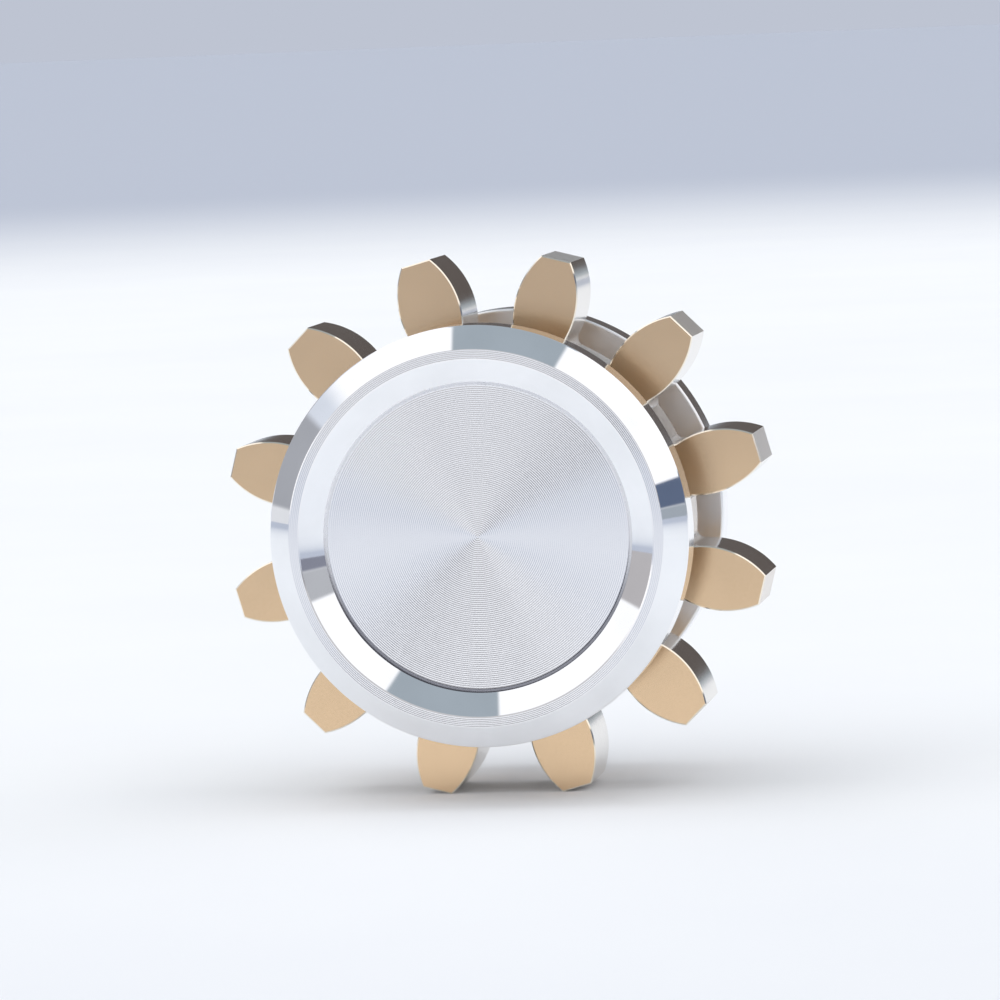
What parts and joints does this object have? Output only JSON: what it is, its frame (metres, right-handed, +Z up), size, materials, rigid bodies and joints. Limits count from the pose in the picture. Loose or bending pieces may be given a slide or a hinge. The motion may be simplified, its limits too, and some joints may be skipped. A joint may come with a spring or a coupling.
{
  "type": "finger spinner",
  "caption": "Toothed wheel with satin gold faces that spins on a small ball bearing between two dished, turned finger caps.",
  "frame": {"origin": "centre of the bearing, on the spin axis, halfway through the wheel's thickness", "axes": "+Y along the spin axis towards the rear cap, so the front cap faces -Y; +Z up, with the wheel standing on two teeth; +X to the right seen from the front"},
  "size_m": [0.0216, 0.0146, 0.0216],
  "materials": {
    "champagne_gold": "satin champagne-gold faces, with bright polished tooth flanks, tips and edge bevels",
    "turned_aluminium": "fine concentric turning marks on the faces, bright chamfers",
    "bearing_steel": "ground and polished",
    "cage_steel": "pressed sheet, satin",
    "dark_steel": "black oxide"
  },
  "bodies": {
    "caps": {"front_cap": "turned_aluminium", "rear_cap": "turned_aluminium", "cap_stud": "dark_steel", "inner_race": "bearing_steel"},
    "wheel": {"gear_wheel": "champagne_gold", "outer_race": "bearing_steel", "front_shield": "cage_steel", "rear_shield": "cage_steel", "front_shield_clip": "dark_steel", "rear_shield_clip": "dark_steel"},
    "cage": {"ball_cage": "cage_steel"},
    "ball_01": {"ball_01": "bearing_steel"},
    "ball_02": {"ball_02": "bearing_steel"},
    "ball_03": {"ball_03": "bearing_steel"},
    "ball_04": {"ball_04": "bearing_steel"},
    "ball_05": {"ball_05": "bearing_steel"},
    "ball_06": {"ball_06": "bearing_steel"},
    "ball_07": {"ball_07": "bearing_steel"},
    "ball_08": {"ball_08": "bearing_steel"},
    "ball_09": {"ball_09": "bearing_steel"},
    "ball_10": {"ball_10": "bearing_steel"}
  },
  "joints": [
    {"name": "wheel_spin", "type": "hinge", "parent": "caps", "child": "wheel", "pos_m": [0, 0, 0], "axis": [0, 1, 0], "continuous": true},
    {"name": "cage_spin", "type": "hinge", "parent": "caps", "child": "cage", "pos_m": [0, 0, 0], "axis": [0, 1, 0], "continuous": true},
    {"name": "ball_01_spin", "type": "hinge", "parent": "cage", "child": "ball_01", "pos_m": [0.00476, 0, 0], "axis": [0, 1, 0], "continuous": true},
    {"name": "ball_02_spin", "type": "hinge", "parent": "cage", "child": "ball_02", "pos_m": [0.00385, 0, 0.0028], "axis": [0, 1, 0], "continuous": true},
    {"name": "ball_03_spin", "type": "hinge", "parent": "cage", "child": "ball_03", "pos_m": [0.00147, 0, 0.00453], "axis": [0, 1, 0], "continuous": true},
    {"name": "ball_04_spin", "type": "hinge", "parent": "cage", "child": "ball_04", "pos_m": [-0.00147, 0, 0.00453], "axis": [0, 1, 0], "continuous": true},
    {"name": "ball_05_spin", "type": "hinge", "parent": "cage", "child": "ball_05", "pos_m": [-0.00385, 0, 0.0028], "axis": [0, 1, 0], "continuous": true},
    {"name": "ball_06_spin", "type": "hinge", "parent": "cage", "child": "ball_06", "pos_m": [-0.00476, 0, 0], "axis": [0, 1, 0], "continuous": true},
    {"name": "ball_07_spin", "type": "hinge", "parent": "cage", "child": "ball_07", "pos_m": [-0.00385, 0, -0.0028], "axis": [0, 1, 0], "continuous": true},
    {"name": "ball_08_spin", "type": "hinge", "parent": "cage", "child": "ball_08", "pos_m": [-0.00147, 0, -0.00453], "axis": [0, 1, 0], "continuous": true},
    {"name": "ball_09_spin", "type": "hinge", "parent": "cage", "child": "ball_09", "pos_m": [0.00147, 0, -0.00453], "axis": [0, 1, 0], "continuous": true},
    {"name": "ball_10_spin", "type": "hinge", "parent": "cage", "child": "ball_10", "pos_m": [0.00385, 0, -0.0028], "axis": [0, 1, 0], "continuous": true}
  ],
  "couplings": [
    {"joint": "cage_spin", "follows": "wheel_spin", "ratio": 0.58333},
    {"joint": "ball_01_spin", "follows": "wheel_spin", "ratio": 2.9167},
    {"joint": "ball_02_spin", "follows": "wheel_spin", "ratio": 2.9167},
    {"joint": "ball_03_spin", "follows": "wheel_spin", "ratio": 2.9167},
    {"joint": "ball_04_spin", "follows": "wheel_spin", "ratio": 2.9167},
    {"joint": "ball_05_spin", "follows": "wheel_spin", "ratio": 2.9167},
    {"joint": "ball_06_spin", "follows": "wheel_spin", "ratio": 2.9167},
    {"joint": "ball_07_spin", "follows": "wheel_spin", "ratio": 2.9167},
    {"joint": "ball_08_spin", "follows": "wheel_spin", "ratio": 2.9167},
    {"joint": "ball_09_spin", "follows": "wheel_spin", "ratio": 2.9167},
    {"joint": "ball_10_spin", "follows": "wheel_spin", "ratio": 2.9167}
  ]
}
